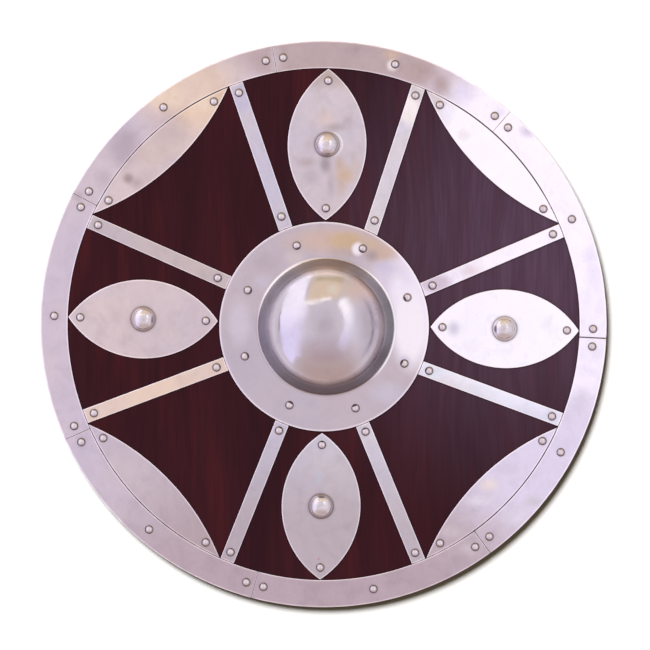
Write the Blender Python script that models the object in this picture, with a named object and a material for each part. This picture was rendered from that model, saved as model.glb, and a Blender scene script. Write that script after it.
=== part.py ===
"""Round wooden shield, faced with riveted sheet steel plates round a hollow steel boss.

The shield lies on its back. +Z points out of its front, +Y is its top when it hangs or is carried,
and the origin is the middle of the board's back face. Lengths are metres and angles degrees.
"""

import math

import bmesh
import bpy

# Board
shield_radius = 0.305
board_thickness = 0.012
board_inset = 0.0005
board_sides = 96

# Sheet steel, and the gaps between pieces
sheet_thickness = 0.0012
seat_gap = 0.0003
joint_gap = 0.0005

# Rim band: the angles of the seams between its segments, as they were laid by hand
rim_width = 0.0292
rim_seams = (-2.9, 48.7, 100.5, 152.4, 204.1, 255.2, 306.1)
rim_steps = 12
seam_rivet_inset = 0.0095

# Boss: the dome sits a little off the board's middle, and its flange was cut a little off the dome's
boss_centre = (0.0027, -0.0030)
flange_offset = (-0.0022, 0.0003)
boss_thickness = 0.0015
dome_radius = 0.0733
dome_height = 0.064
dome_cap_ball = 0.0806
dome_cap_steps = 4
dome_shoulder = 0.012
dome_wall_slope = 73
dome_fillet = 0.0025
dome_fillet_steps = 2
boss_sides = 40
flange_width = 0.0397
flange_rivet_count = 8
flange_rivet_turn = 19.9

# Straps: the angles of each one's outer and inner rivet, as seen from the board's middle
strap_width = 0.0154
strap_end_gap = 0.0004
strap_turns = {
    "right_upper": (21.4, 19.5),
    "upper_right": (68.1, 63.8),
    "upper_left": (110.1, 111.4),
    "left_upper": (156.3, 156.5),
    "left_lower": (201.2, 202.0),
    "lower_left": (247.8, 247.3),
    "lower_right": (291.8, 291.3),
    "right_lower": (338.0, 336.1),
}
strap_outer_rivet_inset = 0.0100
strap_inner_rivet_inset = 0.0110

# Corner plates: each fills the rim's inner edge between two straps
corner_neighbours = {
    "upper_right": ("right_upper", "upper_right"),
    "upper_left": ("upper_left", "left_upper"),
    "lower_left": ("left_lower", "lower_left"),
    "lower_right": ("lower_right", "right_lower"),
}
corner_belly = 0.020
corner_strap_gap = 0.0015
corner_steps = 10
corner_rivet_from_tip = 0.0205
corner_rivet_from_rim = 0.0080

# Almond plates: the angle of each one's long axis
almond_turns = {"right": -1.5, "top": 88.9, "left": 178.4, "bottom": 269.2}
almond_width = 0.085
almond_tip_gap = 0.0015
almond_steps = 10
almond_rivet_inset = 0.013

# Small rivets and large domed studs
rivet_head_radius = 0.0046
rivet_head_height = 0.0024
rivet_crown_share = 0.7
rivet_shank_radius = 0.0022
rivet_sides = 7
rivet_sink = 0.0002
stud_radius = 0.0135
stud_height = 0.0095
stud_shank_radius = 0.0030
stud_sides = 12
stud_steps = 3
shank_clearance = 0.0003

# Hand hole, and the wooden grip let in flush across it
hand_hole_ledge = 0.006
hand_hole_sides = 40
housing_floor = 0.0057
grip_width = 0.030
grip_height = 0.020
grip_end_margin = 0.0135
grip_shoulder = 0.014
grip_hole_clearance = 0.003
grip_end_roundness = 0.25
grip_middle_roundness = 0.85
grip_section_steps = 6

# How far cutters stand clear of what they cut, and the angle from which an edge is shaded sharp
cutter_margin = 0.005
crease_angle = 40

# Worked out from the sizes above
plate_bottom = board_thickness + seat_gap
plate_top = plate_bottom + sheet_thickness
flange_top = plate_bottom + boss_thickness
rim_inner = shield_radius - rim_width
plate_limit = rim_inner - joint_gap
strap_limit = rim_inner - strap_end_gap
flange_radius = dome_radius + flange_width
boss_limit = flange_radius + strap_end_gap
flange_centre = (boss_centre[0] + flange_offset[0], boss_centre[1] + flange_offset[1])
flange_rivet_radius = dome_radius + flange_width / 2
hand_hole_radius = dome_radius - boss_thickness - hand_hole_ledge
grip_length = 2 * (flange_rivet_radius + grip_end_margin)
grip_end_height = board_thickness - housing_floor - seat_gap


def polar(radius, turn, centre=(0.0, 0.0)):
    """Give the point at a radius and an angle round a centre."""
    angle = math.radians(turn)
    return centre[0] + radius * math.cos(angle), centre[1] + radius * math.sin(angle)


def arc(radius, start, end, steps, centre=(0.0, 0.0)):
    """Give the points of an arc, both ends included."""
    return [polar(radius, start + (end - start) * i / steps, centre) for i in range(steps + 1)]


def turn_of(point):
    """Give a point's angle round the board's middle, from 0 to 360."""
    return math.degrees(math.atan2(point[1], point[0])) % 360


def line_meets_circle(point, direction, centre, radius):
    """Give the last point, along the direction, where a line crosses a circle."""
    x, y = point[0] - centre[0], point[1] - centre[1]
    near = x * direction[0] + y * direction[1]
    reach = math.sqrt(near * near + radius * radius - x * x - y * y) - near
    return point[0] + direction[0] * reach, point[1] + direction[1] * reach


def arc_through(half_chord, belly):
    """Give the radius and half angle of an arc that bellies out past its chord."""
    radius = (half_chord * half_chord + belly * belly) / (2 * belly)
    return radius, math.degrees(math.asin(half_chord / radius))


def material(name, colour, roughness, metallic):
    """Make a Principled material."""
    made = bpy.data.materials.new(name)
    made.use_nodes = True
    shader = made.node_tree.nodes["Principled BSDF"]
    shader.inputs["Base Color"].default_value = (*colour, 1.0)
    shader.inputs["Roughness"].default_value = roughness
    shader.inputs["Metallic"].default_value = metallic
    return made


def add_prism(shape, outline, bottom, top):
    """Add an upright prism on an outline."""
    base = shape.faces.new([shape.verts.new((x, y, bottom)) for x, y in outline])
    raised = bmesh.ops.extrude_face_region(shape, geom=[base])["geom"]
    lifted = [item for item in raised if isinstance(item, bmesh.types.BMVert)]
    bmesh.ops.translate(shape, verts=lifted, vec=(0, 0, top - bottom))


def add_loft(shape, loops):
    """Join loops of points into one closed body. A loop of one point is a pole."""
    made = [[shape.verts.new(point) for point in loop] for loop in loops]
    sides = max(len(loop) for loop in made)
    for lower, upper in zip(made, made[1:]):
        for i in range(sides):
            j = i + 1
            corners = (lower[i % len(lower)], lower[j % len(lower)],
                       upper[j % len(upper)], upper[i % len(upper)])
            shape.faces.new(list(dict.fromkeys(corners)))
    for loop in (made[0], made[-1]):
        if len(loop) > 1:
            shape.faces.new(loop)


def ring(radius, height, sides, centre=(0.0, 0.0)):
    """Give a level ring of points, or the one point of a pole where the radius is nothing."""
    if radius == 0:
        return [(*centre, height)]
    return [(*polar(radius, 360 * i / sides, centre), height) for i in range(sides)]


def piece(name, shape, finish=None, location=(0, 0, 0), turn=0.0):
    """Turn a bmesh into an object of the scene. One with no finish only cuts or joins others."""
    bmesh.ops.recalc_face_normals(shape, faces=shape.faces)
    mesh = bpy.data.meshes.new(name)
    shape.to_mesh(mesh)
    shape.free()
    mesh.shade_smooth()
    mesh.set_sharp_from_angle(angle=math.radians(crease_angle))
    if finish is not None:
        mesh.materials.append(finish)
    return put(name, mesh, location, turn, hidden=finish is None)


def put(name, mesh, location, turn=0.0, hidden=False):
    """Put a mesh in the scene under a name, at a place, as a child of the shield."""
    made = bpy.data.objects.new(name, mesh)
    made.location = location
    made.rotation_euler.z = math.radians(turn)
    made.parent = bpy.data.objects["shield"]
    made.hide_render = hidden
    made.display_type = "WIRE" if hidden else "TEXTURED"
    bpy.context.scene.collection.objects.link(made)
    return made


def combine(target, other, operation):
    """Cut another object out of the target, or fuse it with the target."""
    step = target.modifiers.new(other.name, "BOOLEAN")
    step.operation = operation
    step.object = other
    step.solver = "EXACT"


def add_rivets(target, points, seat):
    """Fuse small rivets with a plate: a low dome on its front, and a shank to the board's back."""
    base = seat - rivet_sink
    crown_radius = rivet_head_radius * rivet_crown_share
    crown_height = seat + rivet_head_height * rivet_crown_share
    shape = bmesh.new()
    for point in points:
        add_loft(shape, [
            ring(rivet_shank_radius, 0.0, rivet_sides, point),
            ring(rivet_shank_radius, base, rivet_sides, point),
            ring(rivet_head_radius, base, rivet_sides, point),
            ring(crown_radius, crown_height, rivet_sides, point),
            ring(0, seat + rivet_head_height, rivet_sides, point),
        ])
    combine(target, piece(target.name + "_rivets", shape), "UNION")


def cut_bores(target, points, shank_radius, sides, label):
    """Cut a bore with clearance round each shank that passes through the target."""
    shape = bmesh.new()
    bore = shank_radius + shank_clearance
    for point in points:
        add_loft(shape, [
            ring(bore, -cutter_margin, sides, point),
            ring(bore, flange_top + cutter_margin, sides, point),
        ])
    combine(target, piece(f"{target.name}_{label}_bores", shape), "DIFFERENCE")


def steel_plate(name, outline, rivets, finish):
    """Make one flat sheet steel plate with its rivets."""
    shape = bmesh.new()
    add_prism(shape, outline, plate_bottom, plate_top)
    made = piece(name, shape, finish)
    add_rivets(made, rivets, plate_top)
    return made


def rim_segments(finish):
    """Lay the rim band, and give the places of its rivets."""
    rivets = []
    middle = rim_inner + rim_width / 2
    half_gap = math.degrees(joint_gap / 2 / middle)
    inset = math.degrees(seam_rivet_inset / middle)
    ends = rim_seams[1:] + (rim_seams[0] + 360,)
    for number, (start, end) in enumerate(zip(rim_seams, ends), 1):
        outer = arc(shield_radius, start + half_gap, end - half_gap, rim_steps)
        inner = arc(rim_inner, end - half_gap, start + half_gap, rim_steps)
        own = [polar(middle, turn) for turn in (start + inset, (start + end) / 2, end - inset)]
        steel_plate(f"rim_segment_{number}", outer + inner, own, finish)
        rivets += own
    return rivets


def straps(finish):
    """Lay the straps, and give the places of their rivets and their ends at the rim."""
    rivets = []
    rim_ends = {}
    for name, (outer_turn, inner_turn) in strap_turns.items():
        outer = polar(strap_limit - strap_outer_rivet_inset, outer_turn)
        inner = polar(boss_limit + strap_inner_rivet_inset, inner_turn)
        length = math.dist(inner, outer)
        along = ((outer[0] - inner[0]) / length, (outer[1] - inner[1]) / length)
        rim_end = []
        boss_end = []
        for offset in (-strap_width / 2, 0.0, strap_width / 2):
            start = (inner[0] - along[1] * offset, inner[1] + along[0] * offset)
            rim_end.append(line_meets_circle(start, along, (0.0, 0.0), strap_limit))
            boss_end.append(line_meets_circle(start, along, flange_centre, boss_limit))
        steel_plate(f"strap_{name}", rim_end + boss_end[::-1], [outer, inner], finish)
        rivets += [outer, inner]
        rim_ends[name] = rim_end
    return rivets, rim_ends


def corner_plates(finish, rim_ends):
    """Lay a lens shaped plate between the rim ends of two straps, and give its rivets' places."""
    rivets = []
    gap = math.degrees(corner_strap_gap / plate_limit)
    inset = math.degrees(corner_rivet_from_tip / plate_limit)
    for name, (first, second) in corner_neighbours.items():
        start = turn_of(rim_ends[first][-1]) + gap
        end = turn_of(rim_ends[second][0]) - gap
        middle = (start + end) / 2
        half = math.radians((end - start) / 2)
        radius, half_angle = arc_through(plate_limit * math.sin(half), corner_belly)
        centre = polar(plate_limit * math.cos(half) + radius - corner_belly, middle)
        facing = middle + 180
        outer = arc(plate_limit, start, end, corner_steps)
        inner = arc(radius, facing - half_angle, facing + half_angle, corner_steps, centre)
        own = [polar(plate_limit - corner_rivet_from_rim, turn) for turn in (start + inset, end - inset)]
        steel_plate(f"corner_plate_{name}", outer + inner[1:-1], own, finish)
        rivets += own
    return rivets


def almond_plates(finish):
    """Lay the pointed oval plates, and give their rivets' places and the middles of the plates."""
    rivets = []
    middles = {}
    for name, turn in almond_turns.items():
        inner_tip = line_meets_circle((0.0, 0.0), polar(1.0, turn), flange_centre,
                                      flange_radius + almond_tip_gap)
        start = math.hypot(*inner_tip)
        middle = polar((start + plate_limit) / 2, turn)
        radius, half_angle = arc_through((plate_limit - start) / 2, almond_width / 2)
        outline = []
        for side in (turn - 90, turn + 90):
            centre = polar(almond_width / 2 - radius, side, middle)
            outline += arc(radius, side - half_angle, side + half_angle, almond_steps, centre)[:-1]
        own = [polar(start + almond_rivet_inset, turn), polar(plate_limit - almond_rivet_inset, turn)]
        made = steel_plate(f"almond_plate_{name}", outline, own, finish)
        cut_bores(made, [middle], stud_shank_radius, stud_sides, "stud")
        rivets += own
        middles[name] = middle
    return rivets, middles


def studs(finish, middles):
    """Put a large domed stud in the middle of each almond plate, its shank through the board."""
    base = plate_top + seat_gap
    ball, edge = arc_through(stud_radius, stud_height)
    loops = [ring(stud_shank_radius, 0.0, stud_sides), ring(stud_shank_radius, base, stud_sides)]
    for i in range(stud_steps + 1):
        lean = math.radians(edge * (1 - i / stud_steps))
        height = base + stud_height - ball * (1 - math.cos(lean))
        loops.append(ring(ball * math.sin(lean), height, stud_sides))
    shape = bmesh.new()
    add_loft(shape, loops)
    first, *others = middles.items()
    made = piece(f"stud_{first[0]}", shape, finish, location=(*first[1], 0))
    for name, middle in others:
        put(f"stud_{name}", made.data, (*middle, 0))


def dome_crown(inset):
    """Give the radius and height of points from the dome's top to its wall, inset by a thickness.

    A ball's cap turns through a round shoulder into a straight steep wall.
    """
    slope = math.radians(dome_wall_slope)
    ball_height = flange_top + dome_height - dome_cap_ball
    start = (dome_radius - dome_shoulder * math.sin(slope),
             flange_top - ball_height - dome_shoulder * math.cos(slope))
    shoulder = line_meets_circle(start, (-math.cos(slope), math.sin(slope)), (0.0, 0.0),
                                 dome_cap_ball - dome_shoulder)
    meet = math.atan2(shoulder[0], shoulder[1])
    ball = dome_cap_ball - inset
    turns = [meet * i / dome_cap_steps for i in range(dome_cap_steps + 1)]
    crown = [(ball * math.sin(turn), ball_height + ball * math.cos(turn)) for turn in turns]
    crown.append((shoulder[0] + (dome_shoulder - inset) * math.sin(slope),
                  ball_height + shoulder[1] + (dome_shoulder - inset) * math.cos(slope)))
    return crown


def wall_radius(height, inset):
    """Give the radius of the dome's straight wall at a height, inset by a thickness."""
    slope = math.radians(dome_wall_slope)
    return dome_radius - inset / math.sin(slope) - (height - flange_top) / math.tan(slope)


def boss(finish):
    """Spin the hollow boss out of one sheet, dome and flange, and give its rivets' places."""
    outside = dome_crown(0.0)
    fillet_height = flange_top + dome_fillet
    fillet_radius = wall_radius(fillet_height, -dome_fillet)
    for i in range(dome_fillet_steps + 1):
        turn = math.radians(dome_wall_slope * (1 - i / dome_fillet_steps))
        outside.append((fillet_radius - dome_fillet * math.sin(turn),
                        fillet_height - dome_fillet * math.cos(turn)))
    inside = dome_crown(boss_thickness)
    inside.append((wall_radius(plate_bottom, boss_thickness), plate_bottom))
    loops = [ring(radius, height, boss_sides) for radius, height in outside]
    loops.append(ring(flange_radius, flange_top, boss_sides, flange_offset))
    loops.append(ring(flange_radius, plate_bottom, boss_sides, flange_offset))
    loops += [ring(radius, height, boss_sides) for radius, height in reversed(inside)]
    shape = bmesh.new()
    add_loft(shape, loops)
    made = piece("boss", shape, finish, location=(*boss_centre, 0))
    rivets = [polar(flange_rivet_radius, flange_rivet_turn + 360 * i / flange_rivet_count, boss_centre)
              for i in range(flange_rivet_count)]
    add_rivets(made, rivets, flange_top)
    return rivets


def board(finish, rivets, stud_places):
    """Cut the round board, with its hand hole, the housing of the grip and all the bores."""
    shape = bmesh.new()
    add_prism(shape, arc(shield_radius - board_inset, 0, 360, board_sides)[:-1], 0, board_thickness)
    made = piece("board", shape, finish)
    hole = bmesh.new()
    hole_outline = arc(hand_hole_radius, 0, 360, hand_hole_sides, boss_centre)[:-1]
    add_prism(hole, hole_outline, -cutter_margin, board_thickness + cutter_margin)
    combine(made, piece("hand_hole", hole), "DIFFERENCE")
    housing = bmesh.new()
    reach = grip_length / 2 + seat_gap
    side = grip_width / 2 + seat_gap
    corners = [(-reach, -side), (reach, -side), (reach, side), (-reach, side)]
    add_prism(housing, corners, -cutter_margin, grip_end_height + seat_gap)
    cutter = piece("grip_housing", housing, location=(*boss_centre, 0), turn=flange_rivet_turn)
    combine(made, cutter, "DIFFERENCE")
    cut_bores(made, rivets, rivet_shank_radius, rivet_sides, "rivet")
    cut_bores(made, stud_places, stud_shank_radius, stud_sides, "stud")


def grip_section(along, height, roundness):
    """Give a cross-section of the grip, flat below. A low roundness is nearly square."""
    section = []
    for i in range(grip_section_steps + 1):
        turn = math.pi * i / grip_section_steps
        across, up = math.cos(turn), math.sin(turn)
        section.append((along, math.copysign(abs(across) ** roundness, across) * grip_width / 2,
                        abs(up) ** roundness * height))
    return section


def grip(finish, rivets):
    """Shape the wooden grip: thin square ends let into the board, and a rounded middle."""
    half = grip_length / 2
    shoulder = math.sqrt(hand_hole_radius ** 2 - (grip_width / 2) ** 2) - grip_hole_clearance
    middle_height = (grip_end_height + grip_height) / 2
    middle_roundness = (grip_end_roundness + grip_middle_roundness) / 2
    stations = [
        (half, grip_end_height, grip_end_roundness),
        (shoulder, grip_end_height, grip_end_roundness),
        (shoulder - grip_shoulder / 2, middle_height, middle_roundness),
        (shoulder - grip_shoulder, grip_height, grip_middle_roundness),
    ]
    stations += [(-along, height, roundness) for along, height, roundness in reversed(stations)]
    shape = bmesh.new()
    add_loft(shape, [grip_section(*station) for station in stations])
    made = piece("hand_grip", shape, finish, location=(*boss_centre, 0), turn=flange_rivet_turn)
    cut_bores(made, rivets, rivet_shank_radius, rivet_sides, "rivet")


def build():
    """Build the shield."""
    for old in list(bpy.data.objects):
        bpy.data.objects.remove(old)
    shield = bpy.data.objects.new("shield", None)
    bpy.context.scene.collection.objects.link(shield)
    mahogany = material("stained_mahogany", (0.045, 0.012, 0.014), 0.35, 0.0)
    grip_wood = material("grip_wood", (0.10, 0.035, 0.02), 0.5, 0.0)
    sheet_steel = material("sheet_steel", (0.62, 0.58, 0.58), 0.3, 1.0)
    boss_steel = material("boss_steel", (0.60, 0.57, 0.56), 0.25, 1.0)
    stud_steel = material("stud_steel", (0.62, 0.57, 0.53), 0.2, 1.0)
    rim_rivets = rim_segments(sheet_steel)
    strap_rivets, rim_ends = straps(sheet_steel)
    corner_rivets = corner_plates(sheet_steel, rim_ends)
    almond_rivets, middles = almond_plates(sheet_steel)
    boss_rivets = boss(boss_steel)
    studs(stud_steel, middles)
    all_rivets = rim_rivets + strap_rivets + corner_rivets + almond_rivets + boss_rivets
    board(mahogany, all_rivets, list(middles.values()))
    grip(grip_wood, boss_rivets)


build()
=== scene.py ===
"""Looks of a wooden round shield, faced with riveted sheet steel plates round a domed steel boss.

The shield lies on its back, as its CAD frame does: +Z points out of its front and +Y is its top.
Lengths are metres and angles degrees. Every piece is made in place, in the frame's own coordinates.
"""

import math

import bmesh
import bpy
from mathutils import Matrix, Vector, geometry


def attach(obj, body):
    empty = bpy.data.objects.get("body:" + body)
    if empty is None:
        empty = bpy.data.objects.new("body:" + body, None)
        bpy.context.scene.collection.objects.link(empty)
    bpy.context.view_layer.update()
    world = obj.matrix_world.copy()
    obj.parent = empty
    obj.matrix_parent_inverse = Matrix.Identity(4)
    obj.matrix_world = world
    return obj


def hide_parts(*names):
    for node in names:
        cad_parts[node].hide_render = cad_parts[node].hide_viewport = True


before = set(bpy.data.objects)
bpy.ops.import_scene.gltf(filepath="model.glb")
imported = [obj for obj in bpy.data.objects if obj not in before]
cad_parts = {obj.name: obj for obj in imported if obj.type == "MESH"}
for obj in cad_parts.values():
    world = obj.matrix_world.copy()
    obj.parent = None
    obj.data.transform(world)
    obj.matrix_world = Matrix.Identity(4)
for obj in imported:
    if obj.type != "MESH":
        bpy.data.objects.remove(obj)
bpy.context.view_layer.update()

# Board and sheet steel
shield_radius = 0.305
board_thickness = 0.012
board_radius = 0.3045
board_edge_round = 0.0012
board_edge_steps = 3
board_sides = 192
sheet_thickness = 0.0012
seat_gap = 0.0003
joint_gap = 0.0005
plate_edge_round = 0.0006
plate_edge_steps = 3
sharp_angle = 35
# A band along the plates' front edges painted brighter: partly wear, partly a painted highlight
bright_edge_width = 0.0021
edge_wear_and_highlight = 1.4
brightest_steel = (1.0, 0.985, 1.0)

# Rim band
rim_width = 0.0292
rim_seams = (-2.9, 48.7, 100.5, 152.4, 204.1, 255.2, 306.1)
seam_gaps = (0.0005, 0.00015, 0.0003, 0.0003, 0.0003, 0.0002, 0.0005)
# How much the rounded edges' painted highlight is dulled at each rim seam, and to what tone
seam_dulling = (1.0, 0.0, 0.45, 0.55, 0.50, 0.70, 0.3)
seam_tone = (0.52, 0.47, 0.50)
joint_line_width = 0.0009
joint_line_core = 0.0002
joint_line_tone = (0.10, 0.065, 0.05)
joint_line_spot_core = 0.6
rim_steps = 48
seam_rivet_inset = 0.0095

# Boss
boss_centre = (0.0027, -0.0030)
flange_offset = (-0.0022, 0.0003)
boss_thickness = 0.0015
dome_radius = 0.0733
dome_height = 0.064
dome_fillet = 0.0025
wall_roughness = 0.42
dome_cap_ball = 0.0806
dome_shoulder = 0.012
dome_wall_slope = 73
dome_steps = 40
shoulder_steps = 16
fillet_steps = 8
boss_sides = 160
flange_width = 0.0397
flange_rivet_count = 8
flange_rivet_turn = 19.9

# Straps: the angles of each one's outer and inner rivet
strap_width = 0.0154
strap_end_gap = 0.0004
strap_turns = {
    "right_upper": (21.4, 19.5),
    "upper_right": (68.1, 63.8),
    "upper_left": (110.1, 111.4),
    "left_upper": (156.3, 156.5),
    "left_lower": (201.2, 202.0),
    "lower_left": (247.8, 247.3),
    "lower_right": (291.8, 291.3),
    "right_lower": (338.0, 336.1),
}
strap_outer_rivet_inset = 0.0100
strap_inner_rivet_inset = 0.0110

# Corner plates
corner_neighbours = {
    "upper_right": ("right_upper", "upper_right"),
    "upper_left": ("upper_left", "left_upper"),
    "lower_left": ("left_lower", "lower_left"),
    "lower_right": ("lower_right", "right_lower"),
}
corner_belly = 0.020
corner_strap_gap = 0.0015
corner_steps = 48
corner_rivet_from_tip = 0.0205
corner_rivet_from_rim = 0.0080

# Almond plates
almond_turns = {"right": -1.5, "top": 88.9, "left": 178.4, "bottom": 269.2}
almond_width = 0.085
almond_tip_gap = 0.0015
almond_steps = 40
almond_rivet_inset = 0.013

# Small rivets and large studs
rivet_head_radius = 0.0046
rivet_head_height = 0.0024
rivet_shank_radius = 0.0022
rivet_sides = 28
rivet_steps = 7
rivet_sink = 0.0002
rivet_tail_round = 0.0004
stud_radius = 0.0135
stud_height = 0.0095
stud_shank_radius = 0.0030
stud_sides = 64
stud_steps = 16
shank_clearance = 0.0003

# Hand hole and grip
hand_hole_ledge = 0.006
housing_floor = 0.0057
grip_width = 0.030
grip_height = 0.020
grip_end_margin = 0.0135
grip_shoulder = 0.014
grip_hole_clearance = 0.003
grip_end_roundness = 0.25
grip_middle_roundness = 0.85
grip_section_steps = 24
grip_blend_steps = 8
cutter_margin = 0.005

# From which angle on an edge is shaded sharp
board_crease = 30
grip_crease = 45
head_crease = 50
boss_crease = 60

# The painted sheen on the varnish, a painted reflection: a soft spot in metres
sheen_centre = (0.22, 0.08, 0.012)
sheen_radii = (0.30, 0.34, 1.0)
sheen_strength = 0.64
sheen_tone = (0.128, 0.081, 0.136)

# The photo: the size of a pixel on the plates, the shield's middle in pixels, and the plates' level
photo_pixel = 0.0010796
photo_middle = (323.0, 323.5)
photo_level = 0.013
any_depth = 10.0

# Each plate's tint, a painted reflection of the part of the room that the plate faces
plate_reflection_tints = {
    "strap_left_lower": (1.25, 1.15, 0.86),
    "strap_upper_right": (1.12, 1.20, 1.14),
    "strap_upper_left": (0.98, 1.05, 1.08),
    "strap_left_upper": (0.91, 0.90, 0.81),
    "strap_lower_left": (0.98, 1.05, 1.05),
    "strap_lower_right": (1.06, 1.16, 1.14),
    "strap_right_lower": (1.04, 1.12, 1.07),
    "almond_plate_left": (1.045, 1.025, 0.95),
    "almond_plate_bottom": (1.03, 1.11, 1.09),
    "almond_plate_top": (1.03, 1.05, 1.00),
    "almond_plate_right": (1.08, 1.12, 1.06),
    "corner_plate_upper_right": (1.08, 1.12, 1.05),
    "corner_plate_upper_left": (1.045, 1.02, 0.945),
    "corner_plate_lower_left": (0.96, 0.95, 0.92),
}

# Marks and painted reflections: x, y and two radii in the photo's pixels, the core's share of the radii, a
# colour and a strength
# Broad painted reflections on all the steel: white at the right, warm at the upper left, darker at the top
# and the bottom
broad_painted_reflections = [
    (300, 610, 300, 190, 0.45, (0.5, 0.415, 0.435), 1),
    (560, 450, 150, 120, 0.4, (0.74, 0.7, 0.8), 1),
    (555, 290, 205, 130, 0.7, (0.93, 0.9, 0.97), 1),
    (530, 180, 125, 150, 0.62, (0.99, 0.97, 1), 1),
    (330, 52, 125, 42, 0.55, (0.515, 0.42, 0.405), 1),
    (190, 92, 75, 62, 0.3, (0.76, 0.62, 0.5), 1),
]

# Stains, smudges and dents on the sheet plates, with painted reflections and highlights, such as the white
# glint beside a rim rivet and the bright ring round the top stud
sheet_smudges_and_reflections = {
    "rim": [
        (124, 146, 27, 31, 0.2, (0.47, 0.4, 0.44), 0.8),
        (104, 178, 14, 16, 0, (0.5, 0.43, 0.45), 0.7),
        (78, 196, 10, 9, 0, (0.42, 0.36, 0.38), 0.6),
        (165, 98, 30, 16, 0.2, (0.86, 0.72, 0.55), 0.7),
        (275, 60, 10, 22, 0.2, (0.62, 0.55, 0.56), 0.6),
        (352, 50, 16, 8, 0, (0.44, 0.35, 0.36), 0.5),
        (415, 72, 30, 20, 0.3, (0.5, 0.39, 0.37), 0.95),
        (440, 84, 14, 18, 0, (0.46, 0.35, 0.33), 0.8),
        (391, 55, 14, 8, 0, (0.66, 0.5, 0.38), 0.8),
        (392, 65, 8, 8, 0.3, (1, 0.96, 0.9), 0.8),
        (462, 92, 16, 18, 0, (0.8, 0.76, 0.92), 0.7),
        (527, 131, 13, 10, 0, (0.62, 0.56, 0.7), 0.8),
        (500, 112, 8, 8, 0, (0.78, 0.75, 0.88), 0.6),
        (590, 262, 12, 40, 0, (0.84, 0.8, 0.94), 0.7),
        (594, 350, 10, 14, 0, (0.78, 0.75, 0.8), 0.6),
        (580, 400, 14, 20, 0, (0.64, 0.6, 0.68), 0.6),
        (532, 500, 14, 10, 0, (0.58, 0.57, 0.57), 0.7),
        (514, 516, 18, 14, 0, (0.82, 0.8, 0.86), 0.6),
        (468, 548, 14, 10, 0, (0.72, 0.67, 0.66), 0.5),
    ],
    "corner_plate_upper_left": [
        (128, 178, 8, 8, 0.15, (0.34, 0.28, 0.29), 0.8),
        (136, 183, 12, 9, 0, (0.44, 0.37, 0.38), 0.6),
        (168, 128, 30, 24, 0.1, (0.58, 0.5, 0.51), 0.8),
        (155, 152, 26, 22, 0.2, (0.64, 0.545, 0.51), 0.7),
        (205, 104, 22, 14, 0, (0.84, 0.73, 0.61), 0.6),
        (180, 150, 28, 16, 0, (0.68, 0.59, 0.52), 0.6),
        (105, 196, 12, 9, 0, (0.6, 0.55, 0.62), 0.6),
    ],
    "corner_plate_upper_right": [
        (446, 112, 14, 18, 0, (0.84, 0.8, 0.96), 0.7),
        (462, 134, 18, 12, 0, (0.76, 0.68, 0.78), 0.6),
    ],
    "corner_plate_lower_right": [
        (488, 484, 16, 10, 0, (0.9, 0.8, 0.66), 0.6),
        (478, 500, 22, 10, 0, (0.86, 0.83, 0.86), 0.6),
        (508, 468, 18, 12, 0, (0.66, 0.62, 0.7), 0.6),
        (450, 530, 16, 10, 0, (0.66, 0.61, 0.6), 0.6),
    ],
    "almond_plate_top": [
        (329.7, 143.9, 13.4, 13.4, 0.93, (0.95, 0.9, 0.9), 0.55),
        (325, 118, 16, 14, 0, (0.7, 0.56, 0.52), 0.6),
        (335, 127, 18, 7, 0, (0.42, 0.36, 0.36), 0.7),
        (347, 120, 10, 7, 0, (0.46, 0.4, 0.42), 0.5),
        (325, 164, 9, 14, 0.1, (0.26, 0.21, 0.21), 0.6),
        (306, 162, 16, 8, 0, (0.46, 0.37, 0.36), 0.6),
        (309, 143, 9, 10, 0, (0.52, 0.45, 0.47), 0.5),
        (339, 163, 10, 11, 0, (0.56, 0.42, 0.32), 0.7),
        (344, 175, 15, 15, 0.1, (0.6, 0.43, 0.29), 0.8),
        (341, 188, 9, 12, 0, (0.58, 0.45, 0.38), 0.6),
        (330, 184, 7, 24, 0, (0.38, 0.34, 0.39), 0.45),
        (311, 177, 14, 14, 0, (0.45, 0.41, 0.47), 0.65),
        (355, 165, 10, 22, 0, (0.62, 0.52, 0.47), 0.6),
    ],
    "other_almond_plates": [
        (453, 328, 11, 13, 0, (0.56, 0.53, 0.64), 0.8),
        (470, 345, 18, 10, 0, (0.84, 0.78, 0.86), 0.5),
        (546, 322, 16, 12, 0, (0.86, 0.83, 0.9), 0.5),
        (318, 478, 8, 12, 0, (0.5, 0.5, 0.57), 0.6),
        (326, 445, 10, 12, 0, (0.6, 0.57, 0.6), 0.5),
        (318, 558, 1.6, 1.6, 0, (0.45, 0.1, 0.12), 0.7),
        (104, 308, 20, 16, 0, (0.7, 0.61, 0.6), 0.5),
        (172, 335, 20, 14, 0, (0.64, 0.58, 0.58), 0.5),
    ],
    "straps": [
        (408, 110, 14, 20, 0.45, (0.84, 0.75, 0.74), 1),
        (400, 128, 14, 14, 0, (0.66, 0.6, 0.72), 0.7),
        (241, 98, 16, 24, 0.4, (0.6, 0.535, 0.61), 1),
        (434, 283, 22, 14, 0.4, (0.7, 0.62, 0.69), 1),
        (470, 270, 14, 10, 0, (0.7, 0.56, 0.54), 0.5),
        (432, 367, 20, 16, 0.4, (0.8, 0.78, 0.86), 1),
    ],
}

# Painted reflections and highlights on the flange, white at its right and golden at its top, with a few
# smudges
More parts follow.
